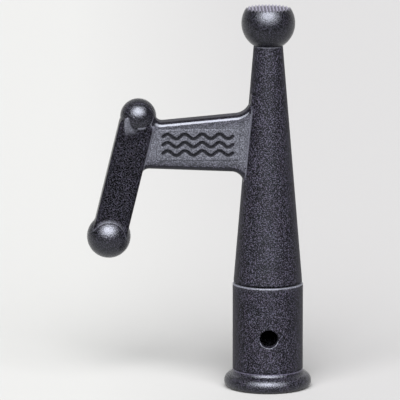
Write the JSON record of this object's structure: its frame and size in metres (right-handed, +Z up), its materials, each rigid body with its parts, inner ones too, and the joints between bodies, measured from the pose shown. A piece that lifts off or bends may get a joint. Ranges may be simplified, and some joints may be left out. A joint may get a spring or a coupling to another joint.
{
  "type": "boat hook head",
  "caption": "Moulded plastic boat hook head: tapered shaft with a ridged ball end, side arm, slanted hook bar with ball knobs, and a flanged pole socket with a button hole.",
  "frame": {"origin": "on the pole socket's axis, in the plane of its mouth, which the head stands on", "axes": "+Z up the shaft from the socket's mouth to the ridged ball end; the hook arm reaches towards -X; the button hole and the arm's blank plaque face -Y"},
  "size_m": [0.1236, 0.048, 0.2119],
  "materials": {
    "grained_plastic": "charcoal nylon with a fine spark-eroded grain",
    "smooth_plastic": "charcoal nylon, nearly smooth, satin sheen"
  },
  "bodies": {
    "root": {"hook_body": "grained_plastic", "ball_tip": "smooth_plastic", "upper_knob": "smooth_plastic", "lower_knob": "smooth_plastic", "pole_socket": "grained_plastic", "base_flange": "smooth_plastic"}
  },
  "joints": []
}
